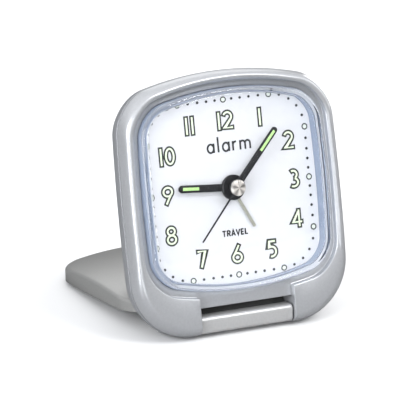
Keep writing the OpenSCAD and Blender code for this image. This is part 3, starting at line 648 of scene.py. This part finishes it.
def stroke(points, width, z0, z1, closed=False):
    """Verts and faces of a flat ribbon of that width along points, with a thickness from z0 to z1."""
    n = len(points)
    left, right = [], []
    for i, p in enumerate(points):
        if closed:
            a, b = points[i - 1], points[(i + 1) % n]
        else:
            a, b = points[max(i - 1, 0)], points[min(i + 1, n - 1)]
        d = Vector((b[0] - a[0], b[1] - a[1]))
        d.normalize()
        stretch = 1.0
        if closed or 0 < i < n - 1:
            e = Vector((b[0] - p[0], b[1] - p[1])).normalized()
            f = Vector((p[0] - a[0], p[1] - a[1])).normalized()
            stretch = min(2.5, 1 / max(0.4, math.sqrt(max(0.0, (1 + e.dot(f)) / 2))))
        nx, ny = -d.y * width / 2 * stretch, d.x * width / 2 * stretch
        left.append((p[0] + nx, p[1] + ny))
        right.append((p[0] - nx, p[1] - ny))
    rings = [[(*l, z0), (*l, z1), (*r, z1), (*r, z0)] for l, r in zip(left, right)]
    return rings_mesh(rings, loop=closed)


# Each numeral is strokes about its own middle, 6 mm tall over its outline: (points, closed).
BAR = 1.08
TOP, BOTTOM = 2.3, -2.3
CUT = 0.54
DIGITS = {
    "0": [(arc(0, 0, 1.3, TOP, 0, 350, 36), True)],
    "1": [([(0, BOTTOM - CUT), (0, TOP + CUT)], False)],
    "2": [(arc(-0.1, 1.1, 1.35, 1.35, 165, -25, 16)
           + [(-1.28, BOTTOM + 0.02), (1.75, BOTTOM + 0.02)], False)],
    "3": [(arc(-0.35, 1.25, 1.25, 1.18, 130, -70, 16), False),
          (arc(-0.35, -1.18, 1.5, 1.25, 82, -130, 18), False)],
    "4": [([(1.85, -1.15), (-1.45, -1.15), (0.65, TOP)], False),
          ([(0.65, TOP + CUT), (0.65, BOTTOM - CUT)], False)],
    "5": [([(1.35, TOP), (-0.95, TOP), (-0.95, 0.35)] + arc(-0.3, -0.85, 1.5, 1.5, 95, -115, 18), False)],
    "6": [(arc(0, -1.1, 1.45, 1.32, 0, 350, 30), True),
          ([(0.85, TOP + CUT), (-0.1, 1.2), (-1.25, -0.5)], False)],
    "7": [([(-1.5, TOP), (1.3, TOP), (-0.35, BOTTOM - CUT)], False)],
    "8": [(arc(0, 1.32, 1.2, 1.12, 0, 350, 26), True), (arc(0, -1.18, 1.4, 1.25, 0, 350, 28), True)],
    "9": [(arc(0, 1.1, 1.45, 1.32, 0, 350, 30), True),
          ([(-0.85, BOTTOM - CUT), (0.1, -1.2), (1.25, 0.5)], False)],
}
# Widths that the digits of 10, 11 and 12 take up, and the middle of each numeral on the dial
ADVANCE = {"1": 2.0, "0": 3.9, "2": 4.1}
NUMERALS = {"12": (0.0, 20.5), "1": (11.9, 20.3), "2": (21.1, 12.0), "3": (21.9, 0.0), "4": (21.6, -12.3),
            "5": (12.1, -20.6), "6": (0.0, -20.6), "7": (-12.1, -20.6), "8": (-21.5, -12.3), "9": (-21.4, 0.0),
            "10": (-20.6, 11.8), "11": (-12.1, 20.2)}


def numerals(width, z0, z1):
    verts, faces = [], []
    for text, (cx, cy) in NUMERALS.items():
        total = sum(ADVANCE.get(c, 4) for c in text) if len(text) > 1 else 0
        x = cx - total / 2
        for c in text:
            mid = x + ADVANCE[c] / 2 if len(text) > 1 else cx
            for pts, closed in DIGITS[c]:
                extra = (width - BAR) / 2
                pts = list(pts)
                if not closed and extra:
                    pts = lengthened(pts, extra)
                v, f = stroke([(mid + px, cy + py) for px, py in pts], width, z0, z1, closed)
                faces += [tuple(len(verts) + i for i in g) for g in f]
                verts += v
            x += ADVANCE.get(c, 4)
    return mesh_object("numerals", verts, faces)


def lengthened(pts, extra):
    def out(a, b):
        d = math.hypot(a[0] - b[0], a[1] - b[1])
        return a[0] + (a[0] - b[0]) * extra / d, a[1] + (a[1] - b[1]) * extra / d
    return [out(pts[0], pts[1])] + list(pts[1:-1]) + [out(pts[-1], pts[-2])]


def track_point(minute, half=27.0, r=11.3):
    """Where the minute's ray from the centre meets the rounded square of the minute track."""
    a = math.radians(90 - 6 * minute)
    dx, dy = math.cos(a), math.sin(a)
    c = half - r
    s = half / max(abs(dx), abs(dy))
    if min(abs(dx), abs(dy)) * s > c:
        b = c * (abs(dx) + abs(dy))
        s = b + math.sqrt(b * b - 2 * c * c + r * r)
    return dx * s, dy * s


def disc_mesh(at, r, z0, z1, segments=20, hole=0.0):
    def ring(radius, z):
        return [(at[0] + radius * math.cos(2 * math.pi * i / segments),
                 at[1] + radius * math.sin(2 * math.pi * i / segments), z) for i in range(segments)]
    if hole:
        return rings_mesh([ring(r, z0), ring(r, z1), ring(hole, z1), ring(hole, z0)], loop=True)
    return rings_mesh([ring(r, z0), ring(r, z1)])


def many(name, parts):
    verts, faces = [], []
    for v, f in parts:
        faces += [tuple(len(verts) + i for i in g) for g in f]
        verts += v
    return mesh_object(name, verts, faces)


LETTERS = {
    "a": (2.3, [(arc(0, -0.05, 0.95, 1.15, 0, 350, 22), True), ([(0.95, 1.3), (0.95, -1.3)], False)]),
    "l": (1.0, [([(0, 2.9), (0, -1.3)], False)]),
    "r": (1.6, [([(-0.45, 1.3), (-0.45, -1.3)], False), (arc(0.45, 0.25, 0.9, 0.85, 180, 80, 8), False)]),
    "m": (3.6, [([(-1.5, 1.3), (-1.5, -1.3)], False),
                (arc(-0.75, 0.3, 0.75, 0.8, 180, 0, 10) + [(0, -1.3)], False),
                (arc(0.75, 0.3, 0.75, 0.8, 180, 0, 10) + [(1.5, -1.3)], False)]),
    "T": (1.3, [([(-0.6, 0.8), (0.6, 0.8)], False), ([(0, 0.8), (0, -0.95)], False)]),
    "R": (1.25, [([(-0.45, 0.95), (-0.45, -0.95)], False),
                 ([(-0.45, 0.8)] + arc(0.05, 0.38, 0.42, 0.42, 90, -90, 8) + [(-0.45, -0.04)], False),
                 ([(0.05, -0.04), (0.5, -0.95)], False)]),
    "A": (1.4, [([(-0.6, -0.95), (0, 0.9), (0.6, -0.95)], False), ([(-0.36, -0.35), (0.36, -0.35)], False)]),
    "V": (1.35, [([(-0.6, 0.95), (0, -0.85), (0.6, 0.95)], False)]),
    "E": (1.15, [([(-0.4, 0.95), (-0.4, -0.95)], False), ([(-0.4, 0.8), (0.45, 0.8)], False),
                 ([(-0.4, 0), (0.38, 0)], False), ([(-0.4, -0.8), (0.45, -0.8)], False)]),
    "L": (1.1, [([(-0.4, 0.95), (-0.4, -0.8), (0.45, -0.8)], False)]),
}


def word(text, at, width, size, gap):
    total = sum(LETTERS[c][0] * size for c in text) + gap * (len(text) - 1)
    x, parts = at[0] - total / 2, []
    for c in text:
        advance = LETTERS[c][0] * size
        for pts, closed in LETTERS[c][1]:
            pts = [(x + advance / 2 + px * size, at[1] + py * size) for px, py in pts]
            parts.append(stroke(pts, width, 0.0, 0.03, closed))
        x += advance + gap
    return parts


def dial_printing():
    ink, ring_ink, pale = [], [], []
    for minute in range(60):
        at = track_point(minute)
        if minute % 5:
            ink.append(disc_mesh(at, 0.45, 0.0, 0.03))
        else:
            ring_ink.append(disc_mesh(at, 1.02, 0.0, 0.03, 28, 0.64))
            pale.append(disc_mesh(at, 0.64, 0.0, 0.025, 28))
    ink += word("alarm", (0.6, 12.5), 0.62, 1.12, 0.75)
    ink += word("TRAVEL", (0.0, -14.0), 0.46, 0.98, 0.28)
    finish_piece(many("ink", ink), "dial_minute_dots_and_words", "case", INK)
    finish_piece(many("rings", ring_ink), "dial_hour_rings", "case", RING_INK)
    finish_piece(many("pale", pale), "dial_hour_fills", "case", RING_PALE)
    finish_piece(numerals(BAR + 0.56, 0.0, 0.03), "dial_numeral_outlines", "case", RING_INK)
    finish_piece(numerals(BAR - 0.52, 0.0, 0.06), "dial_numeral_fills", "case", PALE)


finish_piece(dial_plate(), "dial_plate", "case", DIAL, ["dial"])
dial_printing()


# ---- hands ----
def hand_outline(w, length, hub_r, segments=40):
    """Round-ended blade growing out of a round hub, pointing up."""
    hw = w / 2
    start = math.degrees(math.acos(min(1.0, hw / hub_r)))
    pts = arc(0, 0, hub_r, hub_r, 180 - start, 360 + start, segments)
    return pts + arc(0, length - hw, hw, hw, 0, 180, 16)


def plate(points, z0, z1, edge=0.12):
    """Flat piece with softened upper edges, by insetting the outline towards its own normals."""
    n = len(points)
    def inset(d):
        out = []
        for i, p in enumerate(points):
            a, b = points[i - 1], points[(i + 1) % n]
            t = Vector((b[0] - a[0], b[1] - a[1]))
            if t.length < 1e-9:
                out.append(p)
                continue
            t.normalize()
            out.append((p[0] - t.y * d, p[1] + t.x * d))
        return out
    return loft("plate", [level(points, z0), level(points, z1 - edge),
                          level(inset(edge * 0.3), z1 - edge * 0.3), level(inset(edge), z1)])


def turned_by(angle):
    return FACE @ Matrix.Rotation(math.radians(-angle), 4, "Z")


def hands():
    hub = [(1.45, 0.95), (3.7, 0.95), (3.9, 1.15), (3.9, 2.0), (3.7, 2.2), (1.45, 2.2)]
    hour = joined("hour", [plate(hand_outline(2.3, 18.4, 3.4), 1.2, 1.8), tube(hub, loop=True)])
    finish_piece(hour, "hour_hand_blade", "hours", BLACK, ["hour_hand"],
                 turned_by(HOUR_AT))
    lume = plate([(-0.47, 11.7), (0.47, 11.7), (0.47, 17.1), (-0.47, 17.1)], 1.7, 1.84, 0.03)
    finish_piece(lume, "hour_hand_lume", "hours", GREEN, ["hour_lume"], turned_by(HOUR_AT))
    hub = [(0.9, 3.2), (2.35, 3.2), (2.35, 3.75), (2.2, 3.9), (0.9, 3.9)]
    minute = joined("minute", [plate(hand_outline(1.95, 22.7, 2.3), 3.2, 3.8), tube(hub, loop=True)])
    finish_piece(minute, "minute_hand_blade", "minutes", BLACK, ["minute_hand"],
                 turned_by(MINUTE_AT))
    lume = plate([(-0.42, 13.9), (0.42, 13.9), (0.42, 21.5), (-0.42, 21.5)], 3.7, 3.84, 0.03)
    finish_piece(lume, "minute_hand_lume", "minutes", GREEN, ["minute_lume"],
                 turned_by(MINUTE_AT))
    needle = plate([(-0.31, -4.9), (0.31, -4.9), (0.24, 20.2), (-0.24, 20.2)], 4.36, 4.6, 0.06)
    hub = [(0.4, 4.36), (1.4, 4.36), (1.4, 4.59), (0.4, 4.59)]
    second = joined("second", [needle, tube(hub, loop=True)])
    finish_piece(second, "second_hand_needle", "seconds", STEEL, ["second_hand"],
                 turned_by(SECOND_AT))
    blade = plate([(-0.5, 0.0), (0.5, 0.0), (0.48, 14.5), (-0.48, 14.5)], 0.31, 0.55, 0.06)
    hub = [(2.05, 0.31), (2.9, 0.31), (2.9, 0.54), (2.05, 0.54)]
    alarm = joined("alarm", [blade, tube(hub, loop=True)])
    finish_piece(alarm, "alarm_hand_blade", "alarm", KHAKI, ["alarm_hand"],
                 turned_by(ALARM_AT))
    cap = tube([(0.36, 4.62), (2.42, 4.62), (2.5, 4.72), (2.5, 5.08), (2.44, 5.22), (2.28, 5.36), (1.9, 5.47),
                (1.2, 5.62), (0.6, 5.76), (0.2, 5.86), (0.02, 5.9)], segments=96)
    finish_piece(cap, "hub_cap_turned", "seconds", CAP, ["hub_cap"], turned_by(SECOND_AT))


hands()


# ---- cover ----
def cover():
    dome_r = 181.0
    def dome(drop):
        def z_of(x, y):
            return 11.37 - dome_r + math.sqrt((dome_r - drop) ** 2 - x * x - (y - 2.5) ** 2)
        return z_of
    outer_z, inner_z = dome(0), dome(1.3)
    rings = [level(cover_outline(i), z) for z, i in ((COVER_RIM, 0.12), (3.27, 0.0), (5.6, 0.0))]
    rings += rounded_over(cover_outline, 0.0, outer_z, 0.9)
    rings += domed(rings[-1], outer_z)
    inner = [level(cover_outline(i), z) for z, i in ((2.9, 0.9), (COVER_RIM, 0.9), (3.25, 1.0), (4.8, 1.0))]
    inner += rounded_over(cover_outline, 1.0, inner_z, 1.2)
    inner += domed(inner[-1], inner_z)
    tongue = [(-30.7, 3.3), (-35.9, 3.05), (-37.8, 1.05), (-39.5, -0.4), (-40.4, 1.6), (-38.6, 2.25),
              (-37, 3.35), (-35.6, 4.65), (-33.5, 5.85), (-30.7, 6.9)]
    tongue = rounded_prism(tongue, -BAR_END, BAR_END, 0.25)
    bar, half, r = [], 2.7, 1.3
    for cx, cz, start in ((1, 1, 0), (-1, 1, 90), (-1, -1, 180), (1, -1, 270)):
        bar += arc(HINGE[1] + cx * (half - r), HINGE[2] + cz * (half - r), r, r, start, start + 90, 8)
    bar = rounded_prism(bar, -BAR_END, BAR_END, 0.3)
    tray = boolean(boolean(loft("tray", rings), tongue, "UNION"), loft("hollow", inner))
    def bored(obj):
        circle = arc(HINGE[1], HINGE[2], BORE_R, BORE_R, 0, 350, 35)
        return boolean(obj, loft("bore", [across(circle, x) for x in (-30, 30)]))
    finish_piece(bored(tray), "cover_tray", "cover", COVER, ["cover"], FACE @ FOLDED)
    finish_piece(bored(bar), "cover_hinge_bar", "cover", BAR_PAINTED_LIGHT, matrix=FACE @ FOLDED)


cover()


# ---- back: door, knobs, switch ----
def grip_rib(x):
    """Rib on the door for the thumb, about that x, narrowing towards its top."""
    rings = []
    for hw, low, high, z in ((0.35, 12, 18, -19.95), (0.3, 12.1, 17.9, -20.3), (0.15, 12.3, 17.7, -20.35)):
        rings.append(level([(x - hw, low), (x + hw, low), (x + hw, high), (x - hw, high)], z))
    return loft("rib", rings)


def knob(name, x, flutes=24, segments=192):
    """Turned knob with fine flutes round its rim, from (z, radius, depth of the flutes) rings."""
    rings = []
    for z, r, depth in ((-18.2, 4.9, 0.0), (-18.3, 5.05, 0.12), (-18.5, 5.05, 0.13), (-20.9, 5.05, 0.13),
                        (-21.15, 4.9, 0.08), (-21.35, 4.5, 0.0), (-21.4, 4.2, 0.0), (-21.4, 3.6, 0.0),
                        (-21.15, 3.3, 0.0), (-21.15, 0.05, 0.0)):
        ring = []
        for i in range(segments):
            a = 2 * math.pi * i / segments
            fluted = r + depth * math.cos(flutes * a)
            ring.append((x + fluted * math.cos(a), KNOB_Y + fluted * math.sin(a), z))
        rings.append(ring)
    return loft(name, rings)


def back_controls():
    door = [level(door_outline(margin), z) for z, margin in
            ((BACK_Z, -0.25), (-19.94, -0.06), (-19.75, 0.0), (-18.4, 0.0))]
    parts = [loft("door", door)] + [grip_rib(-6 + 1.5 * i) for i in range(9)]
    finish_piece(joined("door", parts), "battery_door_panel", "door", SHELL,
                 ["battery_door"])
    for name, x, body in (("time_set", KNOB_X, "time_setting"), ("alarm_set", -KNOB_X, "alarm_setting")):
        finish_piece(knob(name, x), name + "_knob_turned", body, KNOB, [name + "_knob"])


back_controls()


# ---- stage, light and camera ----
def stage_material(name, colour):
    return surface(name, colour, 0.004, 0.0, 0.7, 0.05, 3.0)


def plane(name, size, location, material):
    bpy.ops.mesh.primitive_plane_add(size=size, location=location)
    obj = bpy.context.object
    obj.name = name
    obj.data.materials.append(material)
    return obj


ground = plane("ground", 12, (0, 0, -0.0001), stage_material("ground_white", (0.97, 0.97, 0.97)))
ground.visible_glossy = False

world = bpy.data.worlds.new("studio") if bpy.context.scene.world is None else bpy.context.scene.world
bpy.context.scene.world = world
world.use_nodes = True
world.node_tree.nodes["Background"].inputs["Strength"].default_value = 1.0
# A bright ceiling over a dim horizon, so that the lens stays clear and the silver keeps its contrast
wn, wl = world.node_tree.nodes, world.node_tree.links
sky_coord, sky_axes, sky_ramp = (wn.new("ShaderNode" + kind)
                                 for kind in ("TexCoord", "SeparateXYZ", "ValToRGB"))
wl.new(sky_coord.outputs["Generated"], sky_axes.inputs["Vector"])
wl.new(sky_axes.outputs["Z"], sky_ramp.inputs["Fac"])
wl.new(sky_ramp.outputs["Color"], wn["Background"].inputs["Color"])
for k, (at, shade) in enumerate(((0.0, 0.08), (0.2, 0.12), (0.75, 1.0))):
    stop = sky_ramp.color_ramp.elements[k] if k < 2 else sky_ramp.color_ramp.elements.new(at)
    stop.position, stop.color = at, (shade, shade * 1.01, shade * 1.03, 1)


def area_light(name, location, target, width, height, power, colour=(1, 1, 1)):
    data = bpy.data.lights.new(name, "AREA")
    data.shape, data.size, data.size_y, data.energy, data.color = "RECTANGLE", width, height, power, colour
    obj = bpy.data.objects.new(name, data)
    bpy.context.scene.collection.objects.link(obj)
    obj.location = location
    obj.rotation_euler = (Vector(target) - Vector(location)).to_track_quat("-Z", "Y").to_euler()
    return obj


CENTRE = FACE @ Vector((0, 0, 0))
area_light("front_strip", (-0.3, -0.95, 0.3), CENTRE, 0.12, 0.7, 2.0, (0.96, 0.98, 1.0))
area_light("left_soft", (-0.9, -0.5, 0.35), CENTRE, 0.5, 0.8, 9.0, (0.95, 0.97, 1.0))
area_light("right_soft", (0.95, -0.3, 0.4), CENTRE, 0.3, 0.6, 1.8)
area_light("right_rim", (0.75, 0.6, 0.12), CENTRE, 0.25, 0.5, 2.0)
area_light("behind", (0.4, 0.85, 0.5), (0, 0, 0), 0.5, 0.35, 0.7)
sun_data = bpy.data.lights.new("sun", "SUN")
sun_data.energy, sun_data.angle = 1.0, math.radians(22)
sun = bpy.data.objects.new("sun", sun_data)
bpy.context.scene.collection.objects.link(sun)
sun.rotation_euler = Vector((-0.5, 0.8, -1.0)).to_track_quat("-Z", "Y").to_euler()

cam_data = bpy.data.cameras.new("camera")
camera = bpy.data.objects.new("camera", cam_data)
bpy.context.scene.collection.objects.link(camera)
bpy.context.scene.camera = camera
cam_data.lens, cam_data.sensor_width = 317.7, 36.0
cam_data.clip_start, cam_data.clip_end = 0.05, 50
eye = CENTRE + Vector((-0.47107, -0.91803, 0.32386))
forward = Vector((0.42743431, 0.85172739, -0.30308475)).normalized()
level_right = forward.cross(Vector((0, 0, 1))).normalized()
roll = math.radians(0.78)
right = level_right * math.cos(roll) + forward.cross(-level_right).normalized() * math.sin(roll)
up = right.cross(forward).normalized()
camera.matrix_world = Matrix(((right.x, up.x, -forward.x, eye.x), (right.y, up.y, -forward.y, eye.y),
                              (right.z, up.z, -forward.z, eye.z), (0, 0, 0, 1)))
bpy.context.scene.view_settings.view_transform = "Standard"
